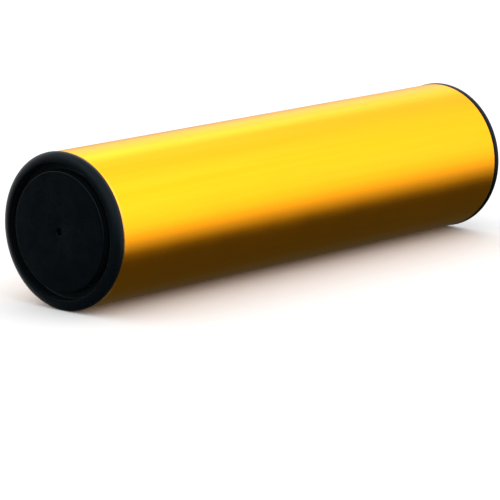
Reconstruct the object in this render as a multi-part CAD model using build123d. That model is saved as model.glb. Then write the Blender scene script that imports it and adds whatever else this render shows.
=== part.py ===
from build123d import *
import math
import os

# A ganza shaker: a plain metal tube, a rubber plug pressed into each end, and loose shot inside.
# The axis of the tube lies along X and the origin is at its middle. Sizes are in millimetres.

# Tube
TUBE_OD = 60.0
TUBE_WALL = 1.5
TUBE_LENGTH = 225.0
TUBE_EDGE_BREAK = 0.3

# Face of an end cap: a rounded rim, a groove inside it and a raised disc with a gate recess
RIM_WIDTH = 4.05
RIM_HEIGHT = 3.9
RIM_PROUD = 0.25
RIM_CREST_HEIGHT = 1.7
RIM_SEAT_SETBACK = 0.45
RIM_STEPS = 4
GROOVE_WIDTH = 3.2
GROOVE_DEPTH = 4.5
GROOVE_FLOOR = 2.6
DISC_EDGE_BREAK = 0.3
DISC_THICKNESS = 3.0
DISC_WALL = 2.6
GATE_DIAMETER = 3.0
GATE_FLOOR = 0.8

# Plug of an end cap: a hollow skirt with a tapered lead-in and saw-tooth ribs that seal against the bore
SKIRT_LENGTH = 13.0
SKIRT_WALL = 2.6
SKIRT_CLEARANCE = 0.4
LEAD_IN_LENGTH = 1.0
LEAD_IN_DEPTH = 0.5
RIB_COUNT = 2
RIB_START = 2.5
RIB_WIDTH = 2.0
RIB_BACK = 0.4
RIB_PRESS = 0.1

# Shot: rows of pellets that lie side by side along the bottom of the bore
SHOT_SIZE = 6.0
SHOT_GAP = 0.4
SHOT_WALL_GAP = 0.25
SHOT_PER_ROW = 10
SHOT_ROWS = "abcde"

# Sizes that follow from the driving ones
TUBE_R = TUBE_OD / 2
BORE_R = TUBE_R - TUBE_WALL
END_X = TUBE_LENGTH / 2
RIM_R = TUBE_R + RIM_PROUD
GROOVE_R = RIM_R - RIM_WIDTH
DISC_R = GROOVE_R - GROOVE_WIDTH
CORE_R = DISC_R - DISC_WALL
SKIRT_R = BORE_R - SKIRT_CLEARANCE
SKIRT_BORE_R = SKIRT_R - SKIRT_WALL
RIB_R = BORE_R + RIB_PRESS
RIB_PITCH = (SKIRT_LENGTH - RIB_START) / RIB_COUNT
SHOT_PITCH = SHOT_SIZE + SHOT_GAP
SHOT_FLAT = SHOT_SIZE * math.tan(math.pi / 8)
ROW_R = BORE_R - SHOT_WALL_GAP - SHOT_SIZE / 2
ROW_ANGLE = 2 * math.degrees(math.atan(SHOT_PITCH / 2 / (ROW_R - SHOT_FLAT / 2)))


def tube():
    """The barrel, with the outer edge of each end broken."""
    ring = Circle(TUBE_R) - Circle(BORE_R)
    barrel = extrude(Plane.YZ * ring, END_X, both=True)
    outer_edges = barrel.edges().filter_by(GeomType.CIRCLE).group_by(SortBy.RADIUS)[-1]
    return chamfer(outer_edges, TUBE_EDGE_BREAK)


def rim_points():
    """Quarter-round of the rim, from the edge of the groove over the front and out to the crest."""
    points = []
    for step in range(RIM_STEPS + 1):
        turn = math.pi / 2 * step / RIM_STEPS
        x = RIM_CREST_HEIGHT + (RIM_HEIGHT - RIM_CREST_HEIGHT) * math.cos(turn)
        points.append((x, GROOVE_R + RIM_WIDTH * math.sin(turn)))
    return points


def rib_points():
    """Saw-tooth ribs along the skirt, from the rim inwards. Each rises steeply and ramps down."""
    points = []
    for rib in range(RIB_COUNT):
        start = -(RIB_START + rib * RIB_PITCH)
        points.append((start, SKIRT_R))
        points.append((start - RIB_BACK, RIB_R))
        points.append((start - RIB_WIDTH, SKIRT_R))
    return points


def end_cap():
    """The plug for the +X end, turned from half of its section. Its rim seats on the tube at X = 0."""
    face = RIM_HEIGHT
    groove_floor = face - GROOVE_DEPTH
    inside = groove_floor - GROOVE_FLOOR
    disc_back = face - DISC_THICKNESS
    gate_floor = disc_back + GATE_FLOOR
    half_section = [
        (disc_back, 0),
        (gate_floor, 0),
        (gate_floor, GATE_DIAMETER / 2),
        (face, GATE_DIAMETER / 2),
        (face, DISC_R - DISC_EDGE_BREAK),
        (face - DISC_EDGE_BREAK, DISC_R),
        (groove_floor, DISC_R),
        (groove_floor, GROOVE_R),
        *rim_points(),
        (0, TUBE_R - RIM_SEAT_SETBACK),
        (0, SKIRT_R),
        *rib_points(),
        (LEAD_IN_LENGTH - SKIRT_LENGTH, SKIRT_R),
        (-SKIRT_LENGTH, SKIRT_R - LEAD_IN_DEPTH),
        (-SKIRT_LENGTH, SKIRT_BORE_R),
        (inside, SKIRT_BORE_R),
        (inside, CORE_R),
        (disc_back, CORE_R),
    ]
    outline = make_face(Polyline(*half_section, close=True))
    return revolve(outline, Axis.X)


def pellet():
    """One pellet of shot: a cube cut back along every edge until all of its flats lie equally far out."""
    cube = Box(SHOT_SIZE, SHOT_SIZE, SHOT_SIZE)
    return chamfer(cube.edges(), (SHOT_SIZE - SHOT_FLAT) / 2)


def shot():
    """Every pellet by name, in rows around the bottom of the bore. Each row is shifted against the next."""
    one = pellet()
    pellets = {}
    for row, letter in enumerate(SHOT_ROWS):
        swing = Rot(X=ROW_ANGLE * (row - (len(SHOT_ROWS) - 1) / 2))
        shift = SHOT_PITCH / 4 * (-1) ** row
        for place in range(SHOT_PER_ROW):
            x = shift + SHOT_PITCH * (place - (SHOT_PER_ROW - 1) / 2)
            pellets[f"shot_{letter}{place + 1:02d}"] = swing * Pos(x, 0, -ROW_R) * one
    return pellets


def assembly():
    """Every node of the shaker by name."""
    cap = Pos(END_X, 0, 0) * end_cap()
    nodes = {"tube": tube(), "left_cap": Rot(Z=180) * cap, "right_cap": cap}
    nodes.update(shot())
    return nodes


os.makedirs("parts", exist_ok=True)
for name, solid in assembly().items():
    export_step(solid, f"parts/{name}.step")
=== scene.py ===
import math
import random

import bmesh
import bpy
from mathutils import Matrix, Quaternion, Vector


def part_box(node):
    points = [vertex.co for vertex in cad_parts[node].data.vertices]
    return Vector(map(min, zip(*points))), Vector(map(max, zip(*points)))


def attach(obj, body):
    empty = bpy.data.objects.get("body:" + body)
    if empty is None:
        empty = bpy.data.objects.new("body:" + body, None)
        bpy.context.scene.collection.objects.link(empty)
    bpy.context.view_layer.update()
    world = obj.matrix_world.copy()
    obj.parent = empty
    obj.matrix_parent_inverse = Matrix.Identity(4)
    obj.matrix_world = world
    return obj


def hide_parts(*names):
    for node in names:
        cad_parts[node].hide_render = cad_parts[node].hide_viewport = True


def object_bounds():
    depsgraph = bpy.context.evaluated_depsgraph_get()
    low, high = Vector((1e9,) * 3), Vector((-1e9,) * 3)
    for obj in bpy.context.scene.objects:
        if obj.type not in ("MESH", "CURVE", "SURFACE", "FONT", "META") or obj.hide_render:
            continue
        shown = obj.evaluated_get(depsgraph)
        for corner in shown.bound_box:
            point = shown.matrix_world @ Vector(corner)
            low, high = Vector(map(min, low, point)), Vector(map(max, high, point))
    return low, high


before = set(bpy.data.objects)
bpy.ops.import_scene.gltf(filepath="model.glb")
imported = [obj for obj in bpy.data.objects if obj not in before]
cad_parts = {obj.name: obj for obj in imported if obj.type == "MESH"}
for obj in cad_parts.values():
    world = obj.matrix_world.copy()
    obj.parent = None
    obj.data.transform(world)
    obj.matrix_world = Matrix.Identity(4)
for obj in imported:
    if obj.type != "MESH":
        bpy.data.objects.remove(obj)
cad_low, cad_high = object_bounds()

# A ganza shaker in metres. Its axis lies along X, and it rests on the floor on the rims of its two caps.

MM = 0.001

# Sizes that the frame gives
TUBE_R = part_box("tube")[1].y
END_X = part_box("tube")[1].x
RIM_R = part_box("right_cap")[1].y
FACE_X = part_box("right_cap")[1].x
SKIRT_END_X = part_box("right_cap")[0].x
SHOT_R = (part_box("shot_c01")[1].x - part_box("shot_c01")[0].x) / 2
FLOOR_Z = cad_low.z

# Face of an end cap: a rim with a narrow flat front, a groove inside it and a raised disc with a gate recess
RIM_WIDTH = 4.05 * MM
RIM_FRONT = 0.4 * MM
RIM_EDGE_ROUND = 0.1 * MM
RIM_SEAT_SETBACK = 0.45 * MM
RIM_STEPS = 16
CREST_HEIGHT = 1.7 * MM
GROOVE_WIDTH = 3.2 * MM
GROOVE_DEPTH = 4.5 * MM
GROOVE_FLOOR = 2.6 * MM
GROOVE_ROUND = 0.7 * MM
DISC_THICKNESS = 3.0 * MM
DISC_WALL = 2.6 * MM
DISC_ROUND = 0.3 * MM
GATE_R = 1.5 * MM
GATE_DEPTH = 2.2 * MM
GATE_ROUND = 0.15 * MM

# Plug of an end cap: a hollow skirt with a tapered lead-in and saw-tooth ribs that reach the bore of the tube
TUBE_WALL = 1.5 * MM
SKIRT_WALL = 2.6 * MM
SKIRT_CLEARANCE = 0.4 * MM
SKIRT_ROUND = 0.5 * MM
LEAD_IN_LENGTH = 1.0 * MM
LEAD_IN_DEPTH = 0.5 * MM
LEAD_IN_ROUND = 0.25 * MM
RIB_COUNT = 2
RIB_START = 2.5 * MM
RIB_WIDTH = 2.0 * MM
RIB_BACK = 0.4 * MM

# Radii that follow from these
GROOVE_R = RIM_R - RIM_WIDTH
DISC_R = GROOVE_R - GROOVE_WIDTH
BORE_R = TUBE_R - TUBE_WALL
SKIRT_R = BORE_R - SKIRT_CLEARANCE

# Pellets of shot: balls with a few flats, which lie at a share of the radius from the middle
PELLET_SUBDIVISIONS = 4
PELLET_FLATS = 4
FLAT_REACH = (0.955, 0.985)
SHOT_SEED = 20

# Fineness of the meshes
LATHE_STEPS = 240
ROUND_STEP = math.radians(9)
SMOOTH_UP_TO = math.radians(32)
ON_AXIS = 1e-7

# Looks: a span is the part of a noise's range that counts, and a share is how much of a colour it mixes in
NOISE_SPAN = (0.3, 0.7)

# Gold anodised tube: streaks and fine lines along the axis, smudges, and a rubbed band at each end
GOLD_STREAKS = {"scale": 1.0, "detail": 4.0, "stretch": (7, 420, 420)}
GOLD_LINES = {"scale": 1.0, "detail": 2.0, "stretch": (5, 900, 900)}
GOLD_SMUDGES = {"scale": 34.0, "detail": 4.0, "roughness": 0.6}
GOLD_EDGE_TINT = (1.0, 1.0, 0.6, 1)
GOLD_DEEP = (0.94, 0.338, 0.006)
GOLD_PALE = (0.96, 0.358, 0.009)
GOLD_LINE = (0.97, 0.40, 0.018)
GOLD_RUBBED = (0.86, 0.58, 0.20)
GOLD_ROUGHNESS = (0.21, 0.27)
LINE_SPAN = (0.35, 0.75)
LINE_SHARE = (0.0, 0.2)
LINE_ROUGHNESS = (-0.012, 0.012)
LINE_HEIGHT = 0.02 * MM
LINE_STRENGTH = 0.03
RUB_BAND = (END_X - 0.8 * MM, END_X - 0.3 * MM)
RUB_SPAN = (0.48, 0.66)
RUB_SHARE = (0.04, 0.5)
RUB_METALLIC = (1, 0.8)
RUB_ROUGHNESS = 0.25

# Black rubber: a fine grain all over, a rim that is handled, and dust in the groove
RUBBER_GRAIN = {"scale": 2300.0, "detail": 2.0}
RUBBER_MOTTLE = {"scale": 160.0, "detail": 5.0, "roughness": 0.65}
RUBBER_DUST = {"scale": 900.0, "detail": 4.0, "roughness": 0.7}
RUBBER_SPECULAR = 0.1
RUBBER_EDGE_TINT = (0.6, 0.86, 1.0, 1)
RUBBER_DARK = (0.0006, 0.0012, 0.0018)
RUBBER_PALE = (0.0011, 0.0019, 0.0027)
RUBBER_HANDLED = (0.0026, 0.0038, 0.0048)
RUBBER_DUSTY = (0.0036, 0.0050, 0.0056)
RUBBER_ROUGHNESS = (0.225, 0.295)
RIM_ROUGHNESS = (0, 0.055)
RIM_BAND = (GROOVE_R, GROOVE_R + RIM_WIDTH / 3)
HANDLED_SPAN = (0.45, 0.7)
HANDLED_SHARE = (0.1, 0.6)
SUNK_BAND = (FACE_X - GROOVE_DEPTH / 3, FACE_X)
GROOVE_BLEND = 0.3 * MM
DUST_SHARE = (0.6, 1)
GRAIN_HEIGHT = 0.03 * MM
GRAIN_STRENGTH = 0.35

# Steel shot: dull metal, rubbed bright in places, with fine pits
STEEL_RUBS = {"scale": 700.0, "detail": 5.0, "roughness": 0.65}
STEEL_PITS = {"scale": 2600.0, "detail": 2.0}
STEEL_SPAN = (0.35, 0.65)
STEEL_DULL = (0.20, 0.195, 0.19)
STEEL_BRIGHT = (0.46, 0.455, 0.45)
STEEL_ROUGHNESS = (0.48, 0.26)
PIT_HEIGHT = 0.03 * MM
PIT_STRENGTH = 0.4

# Floor: pale paint
FLOOR_SIZE = 30
FLOOR_MOTTLE = {"scale": 3.0}
FLOOR_DARK = (0.54, 0.54, 0.54)
FLOOR_PALE = (0.56, 0.56, 0.56)
FLOOR_ROUGHNESS = 0.9
FLOOR_SPECULAR = 0.1

# Camera, from the photograph: a long lens, a little above the axis, rolled by a fraction of a degree
CAMERA_AT = Vector((-1.0319, -0.8928, 0.2562))
CAMERA_AIM = Vector((-0.00680, 0.00090, -0.02333))
CAMERA_ROLL = math.radians(0.47)
CAMERA_LENS = 251.04
CAMERA_SENSOR = 36.0
CAMERA_REACH = 100

# Light: a bright soft dome, tipped towards the front, that fades out low down between two heights
DOME_TIP = math.radians(20)
DOME_BRIGHT = 1.95
DOME_DARK = 0.065
DOME_FADE = (-0.30, 0.35)

# The light falls off towards +X, which the far end of the tube mirrors. As the X of a direction runs over
# this span, the dome and its lamps go from the first share to the second.
FALL_X = (0.70, 0.80)
DOME_SHARE = (1.06, 0.86)

# Lamps on the dome that run along the object: a narrow one high up behind it, a wide one in front, and a
# shade between them that takes light away towards +X. Each has an angle from the vertical towards +Y, a half
# width, and its brightness at each end of that span.
LAMPS = (
    (math.radians(37), math.radians(9), (0.92, 0.1)),
    (math.radians(-48), math.radians(60), (0.38, 0.076)),
    (math.radians(18), math.radians(42), (0.02, -0.42)),
)

# Soft round patches on the dome: a bright one straight behind the object, a dark one low in front of the near
# cap, and a bright one behind the far end. Each has a direction, the cosines of the angles from it where the
# patch starts and where it is full, and a brightness.
PATCHES = (
    (Vector((0, 1, 0)), (0.74, 0.95), 1.5),
    (Vector((-0.7, -0.6, -0.4)).normalized(), (0.6, 0.92), -1.0),
    (Vector((0.74, 0.66, 0.07)).normalized(), (0.93, 0.985), 0.42),
)

# Sockets of a Mix node that is set to colours
MIX_FIRST, MIX_SECOND, MIX_RESULT = 6, 7, 2


def node(tree, kind, inputs=None, **settings):
    """Adds a node. An input that is given a socket is linked to it."""
    made = tree.nodes.new(kind)
    for name, value in settings.items():
        setattr(made, name, value)
    for name, value in (inputs or {}).items():
        if isinstance(value, bpy.types.NodeSocket):
            tree.links.new(value, made.inputs[name])
        else:
            made.inputs[name].default_value = value
    return made


def material(name, **values):
    """A new node material, its tree and its shader, with the shader's own values set."""
    made = bpy.data.materials.new(name)
    made.use_nodes = True
    shader = made.node_tree.nodes["Principled BSDF"]
    for socket, value in values.items():
        shader.inputs[socket.replace("_", " ")].default_value = value
    return made, made.node_tree, shader


def object_place(tree):
    """A socket with the place on the object, in metres."""
    return node(tree, "ShaderNodeTexCoord").outputs["Object"]


def parted(tree, place):
    """The X, Y and Z sockets of a place or direction."""
    return node(tree, "ShaderNodeSeparateXYZ", {0: place}).outputs


def noise(tree, place, scale, detail=3.0, roughness=0.5, stretch=(1, 1, 1)):
    """Noise over the object, in repeats per metre, as a socket."""
    spread = node(tree, "ShaderNodeMapping", {"Vector": place, "Scale": stretch})
    inputs = {"Vector": spread.outputs["Vector"], "Scale": scale, "Detail": detail, "Roughness": roughness}
    return node(tree, "ShaderNodeTexNoise", inputs).outputs["Fac"]


def ranged(tree, value, span, result, smooth=False):
    """A socket that runs from one end of the result to the other as the value runs along the span."""
    inputs = {"Value": value}
    inputs["From Min"], inputs["From Max"] = span
    inputs["To Min"], inputs["To Max"] = result
    kind = "SMOOTHSTEP" if smooth else "LINEAR"
    return node(tree, "ShaderNodeMapRange", inputs, interpolation_type=kind).outputs["Result"]


def maths(tree, operation, first, second=None):
    """A socket with the result of an operation on one or two values, each a number or a socket."""
    inputs = {0: first} if second is None else {0: first, 1: second}
    return node(tree, "ShaderNodeMath", inputs, operation=operation).outputs["Value"]


def mixed(tree, factor, first, second):
    """A colour socket that mixes two colours, each given as a value or a socket."""
    made = node(tree, "ShaderNodeMix", {"Factor": factor}, data_type="RGBA")
    for at, value in ((MIX_FIRST, first), (MIX_SECOND, second)):
        if isinstance(value, bpy.types.NodeSocket):
            tree.links.new(value, made.inputs[at])
        else:
            made.inputs[at].default_value = (*value, 1)
    return made.outputs[MIX_RESULT]


def ridged(tree, height, distance, strength):
    """A normal socket for bumps of that distance in metres."""
    inputs = {"Height": height, "Distance": distance, "Strength": strength}
    return node(tree, "ShaderNodeBump", inputs).outputs["Normal"]


def gold_anodised():
    """Drawn aluminium tube, dyed gold and sealed: fine lines along the axis, soft smudges and rubbed ends."""
    made, tree, shader = material("gold_anodised", Specular_Tint=GOLD_EDGE_TINT)
    place = object_place(tree)
    streaks = noise(tree, place, **GOLD_STREAKS)
    lines = noise(tree, place, **GOLD_LINES)
    smudges = noise(tree, place, **GOLD_SMUDGES)

    dye = mixed(tree, ranged(tree, streaks, NOISE_SPAN, (0, 1)), GOLD_DEEP, GOLD_PALE)
    dye = mixed(tree, ranged(tree, lines, LINE_SPAN, LINE_SHARE), dye, GOLD_LINE)
    end = maths(tree, "ABSOLUTE", parted(tree, place)["X"])
    worn = ranged(tree, end, RUB_BAND, (0, 1), smooth=True)
    worn = maths(tree, "MULTIPLY", worn, ranged(tree, smudges, RUB_SPAN, RUB_SHARE))
    tree.links.new(mixed(tree, worn, dye, GOLD_RUBBED), shader.inputs["Base Color"])
    tree.links.new(ranged(tree, worn, (0, 1), RUB_METALLIC), shader.inputs["Metallic"])

    gloss = ranged(tree, smudges, NOISE_SPAN, GOLD_ROUGHNESS)
    gloss = maths(tree, "ADD", gloss, ranged(tree, lines, NOISE_SPAN, LINE_ROUGHNESS))
    gloss = maths(tree, "ADD", gloss, maths(tree, "MULTIPLY", worn, RUB_ROUGHNESS))
    tree.links.new(gloss, shader.inputs["Roughness"])
    tree.links.new(ridged(tree, lines, LINE_HEIGHT, LINE_STRENGTH), shader.inputs["Normal"])
    return made


def black_rubber():
    """Moulded black rubber with a fine grain: duller and paler on the rim, where it is handled, and dusty in
    the groove."""
    made, tree, shader = material(
        "black_rubber", Specular_IOR_Level=RUBBER_SPECULAR, Specular_Tint=RUBBER_EDGE_TINT
    )
    place = object_place(tree)
    split = parted(tree, place)
    across = node(tree, "ShaderNodeCombineXYZ", {"Y": split["Y"], "Z": split["Z"]}).outputs["Vector"]
    radius = node(tree, "ShaderNodeVectorMath", {0: across}, operation="LENGTH").outputs["Value"]
    on_rim = ranged(tree, radius, RIM_BAND, (0, 1), smooth=True)
    grain = noise(tree, place, **RUBBER_GRAIN)
    mottle = noise(tree, place, **RUBBER_MOTTLE)
    dust = noise(tree, place, **RUBBER_DUST)

    tone = mixed(tree, ranged(tree, mottle, NOISE_SPAN, (0, 1)), RUBBER_DARK, RUBBER_PALE)
    handled = maths(tree, "MULTIPLY", on_rim, ranged(tree, dust, HANDLED_SPAN, HANDLED_SHARE))
    tone = mixed(tree, handled, tone, RUBBER_HANDLED)
    in_groove = ranged(tree, maths(tree, "ABSOLUTE", split["X"]), SUNK_BAND, (1, 0), smooth=True)
    for edge, result in ((DISC_R - GROOVE_BLEND, (0, 1)), (GROOVE_R, (1, 0))):
        within = ranged(tree, radius, (edge, edge + GROOVE_BLEND), result)
        in_groove = maths(tree, "MULTIPLY", in_groove, within)
    settled = maths(tree, "MULTIPLY", in_groove, ranged(tree, dust, NOISE_SPAN, DUST_SHARE))
    tree.links.new(mixed(tree, settled, tone, RUBBER_DUSTY), shader.inputs["Base Color"])

    gloss = ranged(tree, mottle, NOISE_SPAN, RUBBER_ROUGHNESS)
    gloss = maths(tree, "ADD", gloss, ranged(tree, on_rim, (0, 1), RIM_ROUGHNESS))
    tree.links.new(gloss, shader.inputs["Roughness"])
    tree.links.new(ridged(tree, grain, GRAIN_HEIGHT, GRAIN_STRENGTH), shader.inputs["Normal"])
    return made


def steel_shot():
    """Tumbled steel shot: dull grey with small bright rubs."""
    made, tree, shader = material("steel_shot", Metallic=1.0)
    place = object_place(tree)
    rubs = noise(tree, place, **STEEL_RUBS)
    pits = noise(tree, place, **STEEL_PITS)
    tone = mixed(tree, ranged(tree, rubs, STEEL_SPAN, (0, 1)), STEEL_DULL, STEEL_BRIGHT)
    tree.links.new(tone, shader.inputs["Base Color"])
    tree.links.new(ranged(tree, rubs, STEEL_SPAN, STEEL_ROUGHNESS), shader.inputs["Roughness"])
    tree.links.new(ridged(tree, pits, PIT_HEIGHT, PIT_STRENGTH), shader.inputs["Normal"])
    return made


def rounded(corners):
    """An outline through corners of (x, r, round), with each corner turned into an arc of that radius."""
    points = []
    for at, (x, r, radius) in enumerate(corners):
        here = Vector((x, r))
        if not radius:
            points.append(here)
            continue
        back = (Vector(corners[at - 1][:2]) - here).normalized()
        ahead = (Vector(corners[(at + 1) % len(corners)][:2]) - here).normalized()
        half = back.angle(ahead) / 2
        middle = here + (back + ahead).normalized() * (radius / math.sin(half))
        start = here + back * (radius / math.tan(half)) - middle
        turn = start.angle_signed(here + ahead * (radius / math.tan(half)) - middle)
        steps = max(2, round(abs(turn) / ROUND_STEP))
        for step in range(steps + 1):
            points.append(middle + Matrix.Rotation(-turn * step / steps, 2) @ start)
    return points


def finished(name, made, look):
    """An object from a bmesh, shaded smooth but for its sharp edges."""
    bmesh.ops.recalc_face_normals(made, faces=made.faces)
    for face in made.faces:
        face.smooth = True
    for edge in made.edges:
        edge.smooth = edge.calc_face_angle(0) < SMOOTH_UP_TO
    mesh = bpy.data.meshes.new(name)
    made.to_mesh(mesh)
    made.free()
    mesh.materials.append(look)
    piece = bpy.data.objects.new(name, mesh)
    bpy.context.scene.collection.objects.link(piece)
    return piece


def lathe(name, outline, look):
    """A closed mesh, turned about the X axis from an outline that starts and ends on the axis."""
    made = bmesh.new()
    turns = [math.tau * step / LATHE_STEPS for step in range(LATHE_STEPS)]
    rings = []
    for x, r in outline:
        if r < ON_AXIS:
            rings.append([made.verts.new((x, 0, 0))] * LATHE_STEPS)
        else:
            rings.append([made.verts.new((x, r * math.cos(turn), r * math.sin(turn))) for turn in turns])
    for ring, after in zip(rings, rings[1:]):
        for step in range(LATHE_STEPS):
            onward = (step + 1) % LATHE_STEPS
            corners = (ring[step], ring[onward], after[onward], after[step])
            made.faces.new(dict.fromkeys(corners))
    return finished(name, made, look)


def rim():
    """Round of the rim from its front out to the crest, and its back down to the seat on the tube."""
    crest_x = END_X + CREST_HEIGHT
    front_r = GROOVE_R + RIM_FRONT
    seat_r = TUBE_R - RIM_SEAT_SETBACK
    turns = [math.pi / 2 * step / RIM_STEPS for step in range(RIM_STEPS + 1)]
    points = []
    for turn in turns:
        x = crest_x + (FACE_X - crest_x) * math.cos(turn)
        points.append((x, front_r + (RIM_R - front_r) * math.sin(turn), 0))
    for turn in turns[1:]:
        x = crest_x - CREST_HEIGHT * math.sin(turn)
        points.append((x, seat_r + (RIM_R - seat_r) * math.cos(turn), 0))
    return points


def ribs():
    """Saw-tooth ribs along the skirt, from the rim inwards. Each rises steeply and ramps down."""
    pitch = (END_X - SKIRT_END_X - RIB_START) / RIB_COUNT
    points = []
    for rib in range(RIB_COUNT):
        start = END_X - RIB_START - rib * pitch
        points += [(start, SKIRT_R, 0), (start - RIB_BACK, BORE_R, 0), (start - RIB_WIDTH, SKIRT_R, 0)]
    return points


def cap_outline():
    """Half of the section of the +X cap, from the middle of its face over the rim and back into the plug."""
    groove_x = FACE_X - GROOVE_DEPTH
    inside_x = groove_x - GROOVE_FLOOR
    disc_back_x = FACE_X - DISC_THICKNESS
    gate_x = FACE_X - GATE_DEPTH
    skirt_bore_r = SKIRT_R - SKIRT_WALL
    core_r = DISC_R - DISC_WALL
    return rounded([
        (gate_x, 0, 0),
        (gate_x, GATE_R, GATE_ROUND),
        (FACE_X, GATE_R, GATE_ROUND),
        (FACE_X, DISC_R, DISC_ROUND),
        (groove_x, DISC_R, GROOVE_ROUND),
        (groove_x, GROOVE_R, GROOVE_ROUND),
        (FACE_X, GROOVE_R, RIM_EDGE_ROUND),
        *rim(),
        (END_X, SKIRT_R, 0),
        *ribs(),
        (SKIRT_END_X + LEAD_IN_LENGTH, SKIRT_R, SKIRT_ROUND),
        (SKIRT_END_X, SKIRT_R - LEAD_IN_DEPTH, LEAD_IN_ROUND),
        (SKIRT_END_X, skirt_bore_r, SKIRT_ROUND),
        (inside_x, skirt_bore_r, SKIRT_ROUND),
        (inside_x, core_r, SKIRT_ROUND),
        (disc_back_x, core_r, SKIRT_ROUND),
        (disc_back_x, 0, 0),
    ])


def end_caps(look):
    """A cap at each end of the tube."""
    outline = cap_outline()
    for node_name, side in (("right_cap", 1), ("left_cap", -1)):
        cap = lathe(node_name + "_moulding", [(side * x, r) for x, r in outline], look)
        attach(cap, "barrel")
        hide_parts(node_name)


def pellet(name, draw, look):
    """One ball of shot with a few small flats from tumbling, centred on its own origin."""
    made = bmesh.new()
    bmesh.ops.create_icosphere(made, subdivisions=PELLET_SUBDIVISIONS, radius=SHOT_R)
    for _ in range(PELLET_FLATS):
        way = Vector((draw.gauss(0, 1), draw.gauss(0, 1), draw.gauss(0, 1))).normalized()
        reach = SHOT_R * draw.uniform(*FLAT_REACH)
        for vert in made.verts:
            past = vert.co.dot(way) - reach
            if past > 0:
                vert.co -= way * past
    return finished(name, made, look)


def shot(look):
    """A round pellet for each one in the frame, riding with the row whose letter is in its name."""
    draw = random.Random(SHOT_SEED)
    for name in sorted(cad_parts):
        if not name.startswith("shot_"):
            continue
        low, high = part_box(name)
        ball = pellet(name + "_ball", draw, look)
        ball.location = (low + high) / 2
        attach(ball, "shot_row_" + name[5])
        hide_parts(name)


def floor():
    """A plain pale floor, wide enough to fill the view."""
    bpy.ops.mesh.primitive_plane_add(size=FLOOR_SIZE, location=(0, 0, FLOOR_Z))
    ground = bpy.context.object
    ground.name = "floor"
    ground.visible_glossy = False
    look, tree, shader = material(
        "floor_paint", Roughness=FLOOR_ROUGHNESS, Specular_IOR_Level=FLOOR_SPECULAR
    )
    mottle = noise(tree, object_place(tree), **FLOOR_MOTTLE)
    tone = mixed(tree, ranged(tree, mottle, NOISE_SPAN, (0, 1)), FLOOR_DARK, FLOOR_PALE)
    tree.links.new(tone, shader.inputs["Base Color"])
    ground.data.materials.append(look)


def dome():
    """Soft light from all round that fades out low down, with the lamps and patches on it."""
    world = bpy.data.worlds.new("dome")
    bpy.context.scene.world = world
    world.use_nodes = True
    tree = world.node_tree
    sky = tree.nodes["Background"]
    way = node(tree, "ShaderNodeTexCoord").outputs["Generated"]
    split = parted(tree, way)

    tip = {"Vector": way, "Rotation": (-DOME_TIP, 0, 0)}
    height = parted(tree, node(tree, "ShaderNodeMapping", tip).outputs["Vector"])["Z"]
    level = ranged(tree, height, DOME_FADE, (DOME_DARK, DOME_BRIGHT), smooth=True)
    turn = maths(tree, "ARCTAN2", split["Y"], split["Z"])
    for angle, half_width, bright in LAMPS:
        off = maths(tree, "ABSOLUTE", maths(tree, "SUBTRACT", turn, angle))
        lamp = ranged(tree, off, (0, half_width), (1, 0), smooth=True)
        lamp = maths(tree, "MULTIPLY", lamp, ranged(tree, split["X"], FALL_X, bright))
        level = maths(tree, "ADD", level, lamp)
    level = maths(tree, "MULTIPLY", level, ranged(tree, split["X"], FALL_X, DOME_SHARE))
    for middle, span, bright in PATCHES:
        towards = node(tree, "ShaderNodeVectorMath", {0: way, 1: middle}, operation="DOT_PRODUCT")
        patch = ranged(tree, towards.outputs["Value"], span, (0, bright), smooth=True)
        level = maths(tree, "ADD", level, patch)
    tree.links.new(maths(tree, "MAXIMUM", level, DOME_DARK), sky.inputs["Strength"])
    sky.inputs["Color"].default_value = (1, 1, 1, 1)


def camera():
    """The camera of the scene, at the photograph's angle."""
    lens = bpy.data.cameras.new("camera")
    lens.lens = CAMERA_LENS
    lens.sensor_width = CAMERA_SENSOR
    lens.clip_end = CAMERA_REACH
    made = bpy.data.objects.new("camera", lens)
    made.location = CAMERA_AT
    level = (CAMERA_AIM - CAMERA_AT).to_track_quat("-Z", "Y")
    made.rotation_euler = (level @ Quaternion((0, 0, 1), CAMERA_ROLL)).to_euler()
    bpy.context.scene.collection.objects.link(made)
    bpy.context.scene.camera = made


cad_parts["tube"].data.materials[0] = gold_anodised()
end_caps(black_rubber())
shot(steel_shot())
floor()
dome()
camera()
bpy.context.scene.view_settings.view_transform = "Standard"
